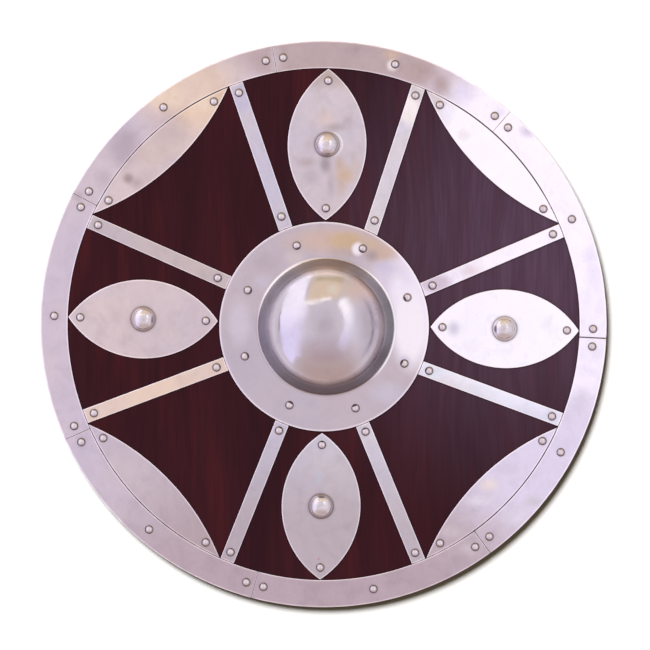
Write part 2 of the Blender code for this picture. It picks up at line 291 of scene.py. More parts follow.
flange_smudges_and_reflections = [
    (330, 240, 62, 20, 0.2, (0.7, 0.54, 0.42), 0.8),
    (382, 252, 24, 14, 0.2, (0.66, 0.5, 0.36), 0.8),
    (372, 243, 13, 9, 0.1, (0.68, 0.53, 0.34), 0.7),
    (371, 255, 11, 9, 0, (0.44, 0.37, 0.35), 0.8),
    (342, 251, 22, 11, 0.2, (0.54, 0.45, 0.38), 0.6),
    (346, 240, 26, 12, 0.3, (0.66, 0.51, 0.31), 0.9),
    (357, 248.5, 8, 9, 0.35, (1, 0.98, 0.98), 0.95),
    (294, 258, 16, 13, 0.1, (0.76, 0.67, 0.62), 0.6),
    (384, 268, 12, 10, 0, (0.62, 0.6, 0.78), 0.8),
    (390, 278, 28, 24, 0.1, (0.76, 0.72, 0.81), 0.7),
    (397, 288, 13, 22, 0.1, (0.95, 0.94, 0.99), 0.9),
    (409, 328, 22, 50, 0.4, (1, 1, 1), 1),
    (404, 360, 9, 9, 0, (0.68, 0.66, 0.78), 0.8),
    (386, 392, 24, 16, 0.1, (0.66, 0.64, 0.71), 0.8),
    (266, 261, 18, 15, 0.2, (0.52, 0.47, 0.49), 0.65),
    (262, 282, 16, 12, 0, (0.66, 0.63, 0.7), 0.7),
    (239, 322, 16, 34, 0.3, (0.68, 0.64, 0.685), 0.9),
    (290, 245, 22, 10, 0, (0.62, 0.54, 0.5), 0.6),
    (300, 412, 30, 10, 0, (0.6, 0.545, 0.58), 0.6),
]

# Where the joints of the corner plates are darkened: x, y, two radii and a strength
corner_joint_darkening = [
    (502, 140, 85, 85, 0.8),
    (195, 108, 45, 45, 0.75),
    (130, 165, 60, 60, 0.5),
    (508, 490, 85, 85, 0.6),
    (130, 500, 90, 90, 0.4),
]

# The boss as the photo shows it: its middle, its wall's outer and inner ring, and its rings of painted
# reflection and highlight from the widest inwards, each with a radius, a core, a base colour and painted
# spots
dome_middle = (325.5, 326.3)
wall_outside = (69, 0.96)
wall_inside = (57, 0.9)
boss_painted_reflections = [
    (70.6, 0.985, (0.56, 0.51, 0.52), [
        (280, 276, 62, 52, 0.2, (1, 0.93, 0.88), 1),
        (385, 285, 40, 40, 0.2, (1, 0.97, 0.95), 0.9),
        (392, 345, 34, 66, 0.3, (1, 1, 1), 0.9)]),
    (68.6, 0.975, (0.285, 0.262, 0.285), [
        (393, 330, 62, 75, 0.35, (0.135, 0.116, 0.124), 1),
        (330, 394, 75, 48, 0.3, (0.195, 0.16, 0.166), 1),
        (335, 262, 48, 30, 0.3, (0.33, 0.268, 0.24), 1)]),
    (62.5, 0.84, (0.7, 0.66, 0.72), [
        (382, 330, 40, 60, 0.4, (0.52, 0.455, 0.485), 1),
        (368, 284, 30, 26, 0.2, (0.74, 0.56, 0.48), 0.9),
        (330, 384, 60, 26, 0.3, (0.62, 0.52, 0.5), 1),
        (325, 272, 30, 16, 0.3, (0.92, 0.82, 0.78), 1)]),
    (54.0, 0.93, (0.585, 0.55, 0.58), [
        (372, 322, 22, 46, 0.3, (0.47, 0.425, 0.455), 0.9),
        (362, 290, 22, 22, 0, (0.62, 0.51, 0.48), 0.8),
        (325, 347, 36, 20, 0.3, (0.49, 0.425, 0.455), 0.9),
        (323, 322, 22, 24, 0.1, (0.515, 0.475, 0.505), 0.9),
        (330, 375, 46, 18, 0.3, (0.56, 0.49, 0.475), 0.8)]),
]

# Stage: the room that the steel reflects, the lamps and the camera
room_reach = 3.0
room_height = 1.25
room_floor = -0.004
panel_distance = 1.1
sill_share = 0.99
rail_bottom = (0.48, 0.58)
rail_top = (0.66, 0.74)
rail_tone = (0.56, 0.48, 0.60)
floor_size = 15.0
floor_drop = 0.0003
sun_distance = 3.0
sun_azimuth = 125
sun_lean = 31
sun_spread = 26
camera_place = (0.00149, -0.00095, 7.7950)
camera_lens = 400.0
sensor_width = 36.0
camera_reach = 60.0

# Worked out from the sizes above
plate_bottom = board_thickness + seat_gap
plate_top = plate_bottom + sheet_thickness
flange_top = plate_bottom + boss_thickness
rim_inner = shield_radius - rim_width
plate_limit = rim_inner - joint_gap
strap_limit = rim_inner - strap_end_gap
flange_radius = dome_radius + flange_width
boss_limit = flange_radius + strap_end_gap
flange_centre = (boss_centre[0] + flange_offset[0], boss_centre[1] + flange_offset[1])
flange_rivet_radius = dome_radius + flange_width / 2
hand_hole_radius = dome_radius - boss_thickness - hand_hole_ledge
grip_length = 2 * (flange_rivet_radius + grip_end_margin)
grip_end_height = board_thickness - housing_floor - seat_gap


# Places and outlines


def polar(radius, turn, centre=(0.0, 0.0)):
    """Give the point at a radius and an angle round a centre."""
    angle = math.radians(turn)
    return centre[0] + radius * math.cos(angle), centre[1] + radius * math.sin(angle)


def arc(radius, start, end, steps, centre=(0.0, 0.0)):
    """Give the points of an arc, both ends included."""
    return [polar(radius, start + (end - start) * i / steps, centre) for i in range(steps + 1)]


def turn_of(point):
    """Give a point's angle round the board's middle, from 0 to 360."""
    return math.degrees(math.atan2(point[1], point[0])) % 360


def line_meets_circle(point, direction, centre, radius):
    """Give the last point, along the direction, where a line crosses a circle."""
    x, y = point[0] - centre[0], point[1] - centre[1]
    near = x * direction[0] + y * direction[1]
    reach = math.sqrt(near * near + radius * radius - x * x - y * y) - near
    return point[0] + direction[0] * reach, point[1] + direction[1] * reach


def arc_through(half_chord, belly):
    """Give the radius and half angle of an arc that bellies out past its chord."""
    radius = (half_chord * half_chord + belly * belly) / (2 * belly)
    return radius, math.degrees(math.asin(half_chord / radius))


# Meshes


def add_loft(shape, loops, closed=False):
    """Join loops of points into one body. A loop of one point is a pole."""
    made = [[shape.verts.new(point) for point in loop] for loop in loops]
    sides = max(len(loop) for loop in made)
    pairs = list(zip(made, made[1:]))
    if closed:
        pairs.append((made[-1], made[0]))
    for lower, upper in pairs:
        for i in range(sides):
            j = i + 1
            corners = (lower[i % len(lower)], lower[j % len(lower)],
                       upper[j % len(upper)], upper[i % len(upper)])
            shape.faces.new(list(dict.fromkeys(corners)))
    if not closed:
        for loop in (made[0], made[-1]):
            if len(loop) > 1:
                shape.faces.new(loop)
    return made


def ring(radius, height, sides, centre=(0.0, 0.0)):
    """Give a level ring of points, or the one point of a pole where the radius is nothing."""
    if radius < 1e-7:
        return [(*centre, height)]
    return [(*polar(radius, 360 * i / sides, centre), height) for i in range(sides)]


def add_object(name, data):
    """Put a new object into the scene."""
    made = bpy.data.objects.new(name, data)
    bpy.context.scene.collection.objects.link(made)
    return made


def object_of(name, shape):
    """Turn a bmesh into an object."""
    mesh = bpy.data.meshes.new(name)
    shape.to_mesh(mesh)
    shape.free()
    return add_object(name, mesh)


def smooth(made, crease):
    """Shade an object smooth, with sharp edges from an angle on."""
    made.data.shade_smooth()
    made.data.set_sharp_from_angle(angle=math.radians(crease))


def piece(name, shape, finish, stands_for=(), crease=board_crease):
    """Turn a bmesh into a shown piece of the shield."""
    bmesh.ops.recalc_face_normals(shape, faces=shape.faces)
    made = object_of(name, shape)
    smooth(made, crease)
    made.data.materials.append(finish)
    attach(made, "root")
    if stands_for:
        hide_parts(*stands_for)
    return made


def soften(made, edge_finish):
    """Round a plate's sharp edges, give them their own finish, and keep the flat faces flat."""
    made.data.materials.append(edge_finish)
    bevel = made.modifiers.new("rounded_edges", "BEVEL")
    bevel.limit_method = "ANGLE"
    bevel.angle_limit = math.radians(sharp_angle)
    bevel.width = plate_edge_round
    bevel.segments = plate_edge_steps
    bevel.harden_normals = True
    bevel.material = 1


def keep_flats(made):
    """Let the large faces set the shading where they meet small ones."""
    weighted = made.modifiers.new("flat_faces_stay_flat", "WEIGHTED_NORMAL")
    weighted.keep_sharp = True
    weighted.weight = 100


def cut(target, shapes, crease):
    """Cut bodies out of a piece, and make the result final."""
    tools = []
    for name, shape in shapes.items():
        bmesh.ops.recalc_face_normals(shape, faces=shape.faces)
        tools.append(object_of(name, shape))
        step = target.modifiers.new(name, "BOOLEAN")
        step.operation = "DIFFERENCE"
        step.object = tools[-1]
        step.solver = "EXACT"
    bpy.context.view_layer.update()
    view = bpy.context.evaluated_depsgraph_get()
    final = bpy.data.meshes.new_from_object(target.evaluated_get(view))
    target.modifiers.clear()
    target.data = final
    for tool in tools:
        bpy.data.objects.remove(tool)
    smooth(target, crease)


def add_bores(shape, places, shank, top):
    """Add the cutters of bores that give a shank its clearance."""
    radius = shank + shank_clearance
    for place in places:
        add_loft(shape, [ring(radius, height, rivet_sides, place) for height in (-cutter_margin, top)])


# The shield's pieces


def add_fastener(shape, place, seat, sink, shank, head, sides, steps):
    """Add a rivet or stud, from its flush tail up over its head.

    Its vertices say in edge_share how near they are to the edge of their round head.
    """
    radius, height = head
    ball, edge = arc_through(radius, height)
    loops = [ring(0, 0.0, sides, place),
             ring(shank - rivet_tail_round, 0.0, sides, place),
             ring(shank, rivet_tail_round, sides, place),
             ring(shank, seat - sink, sides, place)]
    shares = [0.0, 0.3, 1.0, 1.0]
    if sink:
        loops.append(ring(radius, seat - sink, sides, place))
        shares.append(1.0)
    for i in range(steps + 1):
        lean = math.radians(edge * (1 - i / steps))
        loops.append(ring(ball * math.sin(lean), seat + height - ball * (1 - math.cos(lean)), sides, place))
        shares.append(math.sin(lean) / math.sin(math.radians(edge)))
    layer = shape.verts.layers.float.get("edge_share") or shape.verts.layers.float.new("edge_share")
    for verts, share in zip(add_loft(shape, loops), shares):
        for vert in verts:
            vert[layer] = share


def rivets_of(name, places, seat, finish):
    """Make the small rivets that fasten one plate."""
    shape = bmesh.new()
    for place in places:
        add_fastener(shape, place, seat, rivet_sink, rivet_shank_radius,
                     (rivet_head_radius, rivet_head_height), rivet_sides, rivet_steps)
    piece(f"{name}_rivets", shape, finish, crease=head_crease)


def inset(outline, width, straight_share=0.5, narrow_share=0.4):
    """Move an outline inwards by a width, and by less where the shape is narrow.

    At a pointed tip, where the two sides nearly turn back, the point moves between them.
    """
    turning = sum(a[0] * b[1] - b[0] * a[1] for a, b in zip(outline, outline[1:] + outline[:1]))
    side = math.copysign(1.0, turning)
    points = [Vector(point) for point in outline]
    count = len(points)
    moved = []
    for i, here in enumerate(points):
        back = (points[i - 1] - here).normalized()
        ahead = (points[(i + 1) % count] - here).normalized()
        along = ahead - back
        if along.length < straight_share:
            inward = back + ahead
        else:
            inward = Vector((-along.y, along.x)) * side
        inward.normalize()
        reach = 1.0
        for k in range(count):
            if k not in (i, (i - 1) % count):
                met = geometry.intersect_line_line_2d(here, here + inward, points[k],
                                                      points[(k + 1) % count])
                if met:
                    reach = min(reach, (met - here).length)
        moved.append(here + inward * min(width, narrow_share * reach))
    return moved


def add_plate(shape, outline, dull_corners):
    """Add a plate, with a narrow band along the edge of its front that is marked to be painted brighter,
    partly as wear and partly as a painted highlight.
    """
    worn_and_highlit = shape.verts.layers.float.new("worn_and_highlit_edge")
    lower, upper = [[shape.verts.new((x, y, z)) for x, y in outline] for z in (plate_bottom, plate_top)]
    inner = [shape.verts.new((x, y, plate_top)) for x, y in inset(outline, bright_edge_width)]
    for first, second in ((lower, upper), (upper, inner)):
        for i in range(len(outline)):
            shape.faces.new((first[i - 1], first[i], second[i], second[i - 1]))
    shape.faces.new(lower)
    shape.faces.new(inner)
    for vert in lower + upper:
        dull = any(math.dist(vert.co[:2], corner) < seat_gap for corner in dull_corners)
        vert[worn_and_highlit] = 0.0 if dull else 1.0


def steel_plate(name, outline, rivets, finishes, dull_corners=()):
    """Make one flat plate of sheet steel with its rivets."""
    shape = bmesh.new()
    add_plate(shape, outline, dull_corners)
    made = piece(name, shape, finishes["sheet"], [name])
    soften(made, finishes["edge"])
    made.color = rgba(plate_reflection_tints.get(name, (1.0, 1.0, 1.0)))
    rivets_of(name, rivets, plate_top, finishes["rivet"])


def rim_segments(finishes):
    """Lay the rim band, and give the places of its rivets."""
    rivets = []
    middle = rim_inner + rim_width / 2
    half_gaps = [math.degrees(gap / 2 / middle) for gap in seam_gaps]
    from_seam = math.degrees(seam_rivet_inset / middle)
    ends = rim_seams[1:] + (rim_seams[0] + 360,)
    for number, (start, end) in enumerate(zip(rim_seams, ends), 1):
        first, last = start + half_gaps[number - 1], end - half_gaps[number % len(half_gaps)]
        outer = arc(shield_radius, first, last, rim_steps)
        inner = arc(rim_inner, last, first, rim_steps)
        own = [polar(middle, turn) for turn in (start + from_seam, (start + end) / 2, end - from_seam)]
        steel_plate(f"rim_segment_{number}", outer + inner, own, finishes,
                    (outer[0], outer[-1], inner[0], inner[-1]))
        rivets += own
    return rivets


def straps(finishes):
    """Lay the straps, and give the places of their rivets and their ends at the rim."""
    rivets = []
    rim_ends = {}
    for name, (outer_turn, inner_turn) in strap_turns.items():
        outer = polar(strap_limit - strap_outer_rivet_inset, outer_turn)
        inner = polar(boss_limit + strap_inner_rivet_inset, inner_turn)
        length = math.dist(inner, outer)
        along = ((outer[0] - inner[0]) / length, (outer[1] - inner[1]) / length)
        rim_end = []
        boss_end = []
        for offset in (-strap_width / 2, 0.0, strap_width / 2):
            start = (inner[0] - along[1] * offset, inner[1] + along[0] * offset)
            rim_end.append(line_meets_circle(start, along, (0.0, 0.0), strap_limit))
            boss_end.append(line_meets_circle(start, along, flange_centre, boss_limit))
        steel_plate(f"strap_{name}", rim_end + boss_end[::-1], [outer, inner], finishes)
        rivets += [outer, inner]
        rim_ends[name] = rim_end
    return rivets, rim_ends


def corner_plates(finishes, rim_ends):
    """Lay a lens shaped plate between the rim ends of two straps, and give its rivets' places."""
    rivets = []
    gap = math.degrees(corner_strap_gap / plate_limit)
    from_tip = math.degrees(corner_rivet_from_tip / plate_limit)
    for name, (first, second) in corner_neighbours.items():
        start = turn_of(rim_ends[first][-1]) + gap
        end = turn_of(rim_ends[second][0]) - gap
        middle = (start + end) / 2
        half = math.radians((end - start) / 2)
        radius, half_angle = arc_through(plate_limit * math.sin(half), corner_belly)
        centre = polar(plate_limit * math.cos(half) + radius - corner_belly, middle)
        facing = middle + 180
        outer = arc(plate_limit, start, end, corner_steps)
        inner = arc(radius, facing - half_angle, facing + half_angle, corner_steps, centre)
        rivet_line = plate_limit - corner_rivet_from_rim
        own = [polar(rivet_line, turn) for turn in (start + from_tip, end - from_tip)]
        steel_plate(f"corner_plate_{name}", outer + inner[1:-1], own, finishes)
        rivets += own
    return rivets


def almond_plates(finishes):
    """Lay the pointed oval plates, and give their rivets' places and the middles of the plates."""
    rivets = []
    middles = {}
    for name, turn in almond_turns.items():
        inner_tip = line_meets_circle((0.0, 0.0), polar(1.0, turn), flange_centre,
                                      flange_radius + almond_tip_gap)
        start = math.hypot(*inner_tip)
        middle = polar((start + plate_limit) / 2, turn)
        radius, half_angle = arc_through((plate_limit - start) / 2, almond_width / 2)
        outline = []
        for side in (turn - 90, turn + 90):
            centre = polar(almond_width / 2 - radius, side, middle)
            outline += arc(radius, side - half_angle, side + half_angle, almond_steps, centre)[:-1]
        own = [polar(start + almond_rivet_inset, turn), polar(plate_limit - almond_rivet_inset, turn)]
        steel_plate(f"almond_plate_{name}", outline, own, finishes)
        rivets += own
        middles[name] = middle
    return rivets, middles


def studs(finishes, middles):
    """Put a large domed stud in the middle of each almond plate, its shank through the board."""
    for name, middle in middles.items():
        shape = bmesh.new()
        add_fastener(shape, middle, plate_top + seat_gap, 0.0, stud_shank_radius,
                     (stud_radius, stud_height), stud_sides, stud_steps)
        piece(f"stud_{name}", shape, finishes["stud"], [f"stud_{name}"], crease=head_crease)


def dome_profile(depth=0.0):
    """Give the radius and height of points from the dome's top to its wall, at a depth in the sheet.

    A ball's cap turns through a round shoulder into a straight steep wall.
    """
    slope = math.radians(dome_wall_slope)
    ball_height = flange_top + dome_height - dome_cap_ball
    start = (dome_radius - dome_shoulder * math.sin(slope),
             flange_top - ball_height - dome_shoulder * math.cos(slope))
    shoulder = line_meets_circle(start, (-math.cos(slope), math.sin(slope)), (0.0, 0.0),
                                 dome_cap_ball - dome_shoulder)
    meet = math.atan2(shoulder[0], shoulder[1])
    ball = dome_cap_ball - depth
    turns = [meet * i / dome_steps for i in range(dome_steps + 1)]
    points = [(ball * math.sin(turn), ball_height + ball * math.cos(turn)) for turn in turns]
    for i in range(1, shoulder_steps + 1):
        turn = meet + (slope - meet) * i / shoulder_steps
        points.append((shoulder[0] + (dome_shoulder - depth) * math.sin(turn),
                       ball_height + shoulder[1] + (dome_shoulder - depth) * math.cos(turn)))
    return points


def wall_radius(height, depth):
    """Give the radius of the dome's straight wall at a height, at a depth in the sheet."""
    slope = math.radians(dome_wall_slope)
    return dome_radius - depth / math.sin(slope) - (height - flange_top) / math.tan(slope)


def boss_loops():
    """Give the rings of the boss's one sheet: the dome's outside, the flange, and the inside."""
    slope = math.radians(dome_wall_slope)
    outside = dome_profile()
    fillet_centre = wall_radius(flange_top + dome_fillet, -dome_fillet)
    for i in range(fillet_steps + 1):
        turn = slope * (1 - i / fillet_steps)
        outside.append((fillet_centre - dome_fillet * math.sin(turn),
                        flange_top + dome_fillet - dome_fillet * math.cos(turn)))
    rim = [(flange_radius - plate_edge_round - bright_edge_width, flange_top)]
    for turn in (90, 60, 30, 0):
        lean = math.radians(turn)
        rim.append((flange_radius - plate_edge_round * (1 - math.cos(lean)),
                    flange_top - plate_edge_round * (1 - math.sin(lean))))
    rim.append((flange_radius, plate_bottom))
    inside = dome_profile(boss_thickness)
    inside.append((wall_radius(plate_bottom, boss_thickness), plate_bottom))
    parts = ((outside, boss_centre), (rim, flange_centre), (inside[::-1], boss_centre))
    return [ring(radius, height, boss_sides, centre) for rings, centre in parts for radius, height in rings]


def boss(finishes):
    """Spin the hollow boss out of one sheet, dome and flange, and give its rivets' places."""
    shape = bmesh.new()
    worn_and_highlit = shape.verts.layers.float.new("worn_and_highlit_edge")
    add_loft(shape, boss_loops())
    for vert in shape.verts:
        from_edge = flange_radius - math.dist(vert.co[:2], flange_centre)
        vert[worn_and_highlit] = 1.0 if from_edge < plate_edge_round + bright_edge_width / 2 else 0.0
    made = piece("boss", shape, finishes["boss"], ["boss"], crease=boss_crease)
    made.data.materials.append(finishes["edge"])
    for face in made.data.polygons:
        from_edge = flange_radius - math.dist(face.center[:2], flange_centre)
        if from_edge < plate_edge_round and face.center.z > flange_top - plate_edge_round:
            face.material_index = 1
    keep_flats(made)
    rivets = [polar(flange_rivet_radius, flange_rivet_turn + 360 * i / flange_rivet_count, boss_centre)
              for i in range(flange_rivet_count)]
    rivets_of("boss", rivets, flange_top, finishes["rivet"])
    return rivets


def rounded_edge(radius, centre, height, start):
    """Give the rings of one of the board's rounded edges, a quarter turn from a start angle."""
    turns = [math.radians(start + 90 * i / board_edge_steps) for i in range(board_edge_steps + 1)]
    return [ring(radius + board_edge_round * math.cos(turn), height + board_edge_round * math.sin(turn),
                 board_sides, centre) for turn in turns]


def board(finishes, rivets, stud_places):
    """Turn the round board, with its hand hole, the housing of the grip and all the bores."""
    outside = board_radius - board_edge_round
    hole = hand_hole_radius + board_edge_round
    low = board_edge_round
    high = board_thickness - board_edge_round
    shape = bmesh.new()
    add_loft(shape, rounded_edge(outside, (0.0, 0.0), low, 270) + rounded_edge(outside, (0.0, 0.0), high, 0)
             + rounded_edge(hole, boss_centre, high, 90) + rounded_edge(hole, boss_centre, low, 180),
             closed=True)
    made = piece("board", shape, finishes["board"], ["board"])
    housing = bmesh.new()
    reach = grip_length / 2 + seat_gap
    side = grip_width / 2 + seat_gap
    add_loft(housing, [[(-reach, -side, height), (reach, -side, height), (reach, side, height),
                        (-reach, side, height)] for height in (-cutter_margin, grip_end_height + seat_gap)])
    turn_and_place(housing)
    bores = bmesh.new()
    add_bores(bores, rivets, rivet_shank_radius, flange_top + cutter_margin)
    add_bores(bores, stud_places, stud_shank_radius, flange_top + cutter_margin)
    cut(made, {"housing_cutter": housing, "bore_cutter": bores}, board_crease)
    keep_flats(made)


def turn_and_place(shape):
    """Turn what is drawn along X onto the grip's line across the boss."""
    angle = math.radians(flange_rivet_turn)
    for vert in shape.verts:
        x, y = vert.co.x, vert.co.y
        vert.co.x = boss_centre[0] + x * math.cos(angle) - y * math.sin(angle)
        vert.co.y = boss_centre[1] + x * math.sin(angle) + y * math.cos(angle)


def grip_section(along, height, roundness):
    """Give a cross-section of the grip, flat below. A low roundness is nearly square."""
    section = []
    for i in range(grip_section_steps + 1):
        turn = math.pi * i / grip_section_steps
        across, up = math.cos(turn), math.sin(turn)
        section.append((along, math.copysign(abs(across) ** roundness, across) * grip_width / 2,
                        abs(up) ** roundness * height))
    return section


def grip(finishes, rivets):
    """Shape the wooden grip: thin square ends let into the board, and a rounded middle.

    It runs between two opposite rivets of the boss, which hold it.
    """
    half = grip_length / 2
    shoulder = math.sqrt(hand_hole_radius ** 2 - (grip_width / 2) ** 2) - grip_hole_clearance
    stations = [(half, grip_end_height, grip_end_roundness)]
    for i in range(grip_blend_steps + 1):
        share = i / grip_blend_steps
        eased = share * share * (3 - 2 * share)
        stations.append((shoulder - grip_shoulder * share,
                         grip_end_height + (grip_height - grip_end_height) * eased,
                         grip_end_roundness + (grip_middle_roundness - grip_end_roundness) * eased))
    stations += [(-along, height, roundness) for along, height, roundness in reversed(stations)]
    shape = bmesh.new()
    add_loft(shape, [grip_section(*station) for station in stations])
    turn_and_place(shape)
    made = piece("hand_grip", shape, finishes["grip"], ["hand_grip"], crease=grip_crease)
    bores = bmesh.new()
    add_bores(bores, rivets[::flange_rivet_count // 2], rivet_shank_radius, board_thickness)
    cut(made, {"grip_bore_cutter": bores}, grip_crease)


# Materials


def is_socket(value):
    """Tell a socket from a plain value."""
    return isinstance(value, bpy.types.NodeSocket)


def feed(made, inputs):
    """Set a node's inputs to values, or link them to the sockets that feed them."""
    for key, value in inputs.items():
        if is_socket(value):
            made.id_data.links.new(value, made.inputs[key])
        else:
            made.inputs[key].default_value = value


def node(tree, kind, inputs=None, **settings):
    """Add a shader node with its settings and inputs."""
    made = tree.nodes.new("ShaderNode" + kind)
    for key, value in settings.items():
        setattr(made, key, value)
    feed(made, inputs or {})
    return made


def tree_of(*values):
    """Give the node tree of the first socket among some values."""
    return next(value.id_data for value in values if is_socket(value))


def rgba(colour):
    """Give a colour with full alpha."""
    return (*colour, 1.0)


def mix(factor, first, second, blend="MIX"):
    """Mix two colours, and give the result's socket."""
    made = node(tree_of(factor, first, second), "Mix", data_type="RGBA", blend_type=blend)
    first, second = [tone if is_socket(tone) else rgba(tone) for tone in (first, second)]
    feed(made, {0: factor, 6: first, 7: second})
    return made.outputs[2]


def math_of(operation, first, second):
    """Do a sum, and give the result's socket."""
    return node(tree_of(first, second), "Math", {0: first, 1: second}, operation=operation).outputs[0]


def times(first, *others):
    """Multiply numbers, and give the result's socket."""
    for other in others:
        first = math_of("MULTIPLY", first, other)
    return first


def vector_of(operation, first, second):
    """Do a sum with vectors, and give the result's socket."""
    return node(first.id_data, "VectorMath", {0: first, 1: second}, operation=operation).outputs[0]


def length_of(vector):
    """Give a vector's length."""
    return node(vector.id_data, "VectorMath", {0: vector}, operation="LENGTH").outputs["Value"]


def part_of(place, axis):
    """Give one of a place's coordinates."""
    return node(place.id_data, "SeparateXYZ", {0: place}).outputs[axis]


def attribute(tree, name):
    """Give a number that the mesh's vertices hold."""
    return node(tree, "Attribute", attribute_name=name).outputs["Fac"]


def clouds(place, scale, detail=3.0, roughness=0.5, distortion=0.0):
    """Give soft noise between 0 and 1."""
    return node(place.id_data, "TexNoise", {"Vector": place, "Scale": scale, "Detail": detail,
                                            "Roughness": roughness, "Distortion": distortion}).outputs["Fac"]


def stretched_clouds(place, scale, detail=3.0, roughness=0.5, distortion=0.0):
    """Give soft noise with its own scale along each axis."""
    return clouds(vector_of("MULTIPLY", place, scale), 1.0, detail, roughness, distortion)


def bumps(height, distance, strength, below=None):
    """Give the normal of a bumpy surface, over another one's if there is one."""
    under = {"Normal": below} if below else {}
    return node(height.id_data, "Bump", {"Height": height, "Distance": distance, "Strength": strength,
                                         **under}).outputs["Normal"]


def spread(value, low, high, to_low=0.0, to_high=1.0):
    """Map a value from one range to another, with soft ends."""
    made = node(value.id_data, "MapRange", {"Value": value, "From Min": low, "From Max": high,
                                            "To Min": to_low, "To Max": to_high},
                interpolation_type="SMOOTHSTEP")
    return made.outputs["Result"]


def spot(place, centre, radii, core=0.0):
    """Give a soft spot: 1 within the core's share of its radii, and 0 at the radii."""
    away = vector_of("DIVIDE", vector_of("SUBTRACT", place, centre), radii)
    return spread(length_of(away), core, 1.0, 1.0, 0.0)


def painted(place, base, layers):
    """Paint soft spots over a base colour, one after another."""
    colour = base
    for centre, radii, core, tone, strength in layers:
        colour = mix(times(spot(place, centre, radii, core), strength), colour, tone)
    return colour


def new_material(name):
    """Start a material, and give it, its tree, its shader and the frame's coordinates."""
    made = bpy.data.materials.new(name)
    made.use_nodes = True
    tree = made.node_tree
    place = node(tree, "TexCoord").outputs["Object"]
    return made, tree, tree.nodes["Principled BSDF"], place


def photo_spot(x, y, radius_x, radius_y):
    """Give, in metres, the centre and radii of a spot measured in the photo's pixels."""
    centre = ((x - photo_middle[0]) * photo_pixel, (photo_middle[1] - y) * photo_pixel, photo_level)
    return centre, (radius_x * photo_pixel, radius_y * photo_pixel, any_depth)


def photo_marks(rows):
    """Turn rows of marks into soft spots in metres."""
    return [(*photo_spot(*row[:4]), *row[4:]) for row in rows]


def with_painted_shade(colour, distance, low, high, strength, tone):
    """Darken a colour in the corners between pieces, as painted shade."""
    open_share = node(colour.id_data, "AmbientOcclusion", {"Distance": distance}, samples=8).outputs["AO"]
    return mix(spread(open_share, low, high, strength, 0.0), colour, tone)


def darken_joints(place, colour):
    """Darken a thin line along the joints of the corner plates and the rim, by a strength at each place."""
    radius = length_of(vector_of("MULTIPLY", place, (1.0, 1.0, 0.0)))
    line = times(spread(radius, plate_limit - joint_line_width, plate_limit - joint_line_core),
                 spread(radius, rim_inner + joint_line_core, rim_inner + joint_line_width, 1.0, 0.0))
    for *where, strength in corner_joint_darkening:
        beside = spot(place, *photo_spot(*where), joint_line_spot_core)
        colour = mix(times(line, beside, strength), colour, joint_line_tone)
    return colour


def dome_spot(place, radius, core):
    """Give a soft round spot in the middle of the dome, its radius in the photo's pixels."""
    return spot(place, *photo_spot(*dome_middle, radius, radius), core)


def with_painted_dome_reflections(place, colour, rough):
    """Paint the dome's rings of painted reflection and highlight over the colour of the flange, and make its
    wall duller.
    """
    for radius, core, base, marks_and_reflections in boss_painted_reflections:
        inside = dome_spot(place, radius, core)
        colour = mix(inside, colour, painted(place, base, photo_marks(marks_and_reflections)))
    on_wall = math_of("SUBTRACT", dome_spot(place, *wall_outside), dome_spot(place, *wall_inside))
    off_wall = math_of("SUBTRACT", 1.0, on_wall)
    return colour, math_of("ADD", times(rough, off_wall), times(wall_roughness, on_wall))


def steel(name, cool, warm, roughness, wave, mottle, marks_and_reflections, is_boss=False):
    """Polished steel with a soft cloudy bloom, smudges, fine scratches and a slightly wavy face, under
    painted reflections and highlights, and painted shade in its corners.
    """
    made, tree, shader, place = new_material(name)
    broad = spread(clouds(place, 11.0, 2.0), 0.35, 0.65)
    small = clouds(place, 48.0, 4.0, 0.6, 0.4)
    brushed = stretched_clouds(place, (900.0, 160.0, 300.0), 2.0)
    # Painted reflections and highlights, with smudges, over the cloudy tone
    colour = painted(place, mix(broad, cool, warm), photo_marks(broad_painted_reflections + marks_and_reflections))
    rough = math_of("ADD", spread(small, 0.3, 0.7, roughness - 0.05, roughness + 0.07),
                    spread(brushed, 0.35, 0.7, 0.0, 0.05))
    if is_boss:
        colour, rough = with_painted_dome_reflections(place, colour, rough)
    else:
        colour = darken_joints(place, colour)
    # Each plate's tint, a painted reflection
    colour = mix(1.0, colour, node(tree, "ObjectInfo").outputs["Color"], "MULTIPLY")
    smudges = spread(small, 0.45, 0.75, 1.0, 1.0 - mottle)
    streaks = spread(stretched_clouds(place, (55.0, 38.0, 45.0), 3.0, 0.55, 0.8),
                     0.35, 0.70, 1.0 + 0.2 * mottle, 1.0 - 0.4 * mottle)
    # A brighter band along the plates' edges: partly wear, partly a painted highlight
    edge_shine = spread(attribute(tree, "worn_and_highlit_edge"), 0.1, 0.7, 1.0, edge_wear_and_highlight)
    for shade in (smudges, streaks, edge_shine):
        colour = node(tree, "VectorMath", {0: colour, "Scale": shade}, operation="SCALE").outputs[0]
    colour = vector_of("MINIMUM", colour, brightest_steel)
    # Painted shade round the rivets, the studs and the foot of the dome
    colour = with_painted_shade(colour, 0.0035, 0.55, 0.98, 0.85, (0.12, 0.09, 0.085))
    surface = bumps(brushed, 0.00003, 0.6, bumps(clouds(place, 16.0, 2.0, 0.5), wave, 1.0))
    feed(shader, {"Base Color": colour, "Roughness": rough, "Metallic": 1.0, "Normal": surface})
    return made


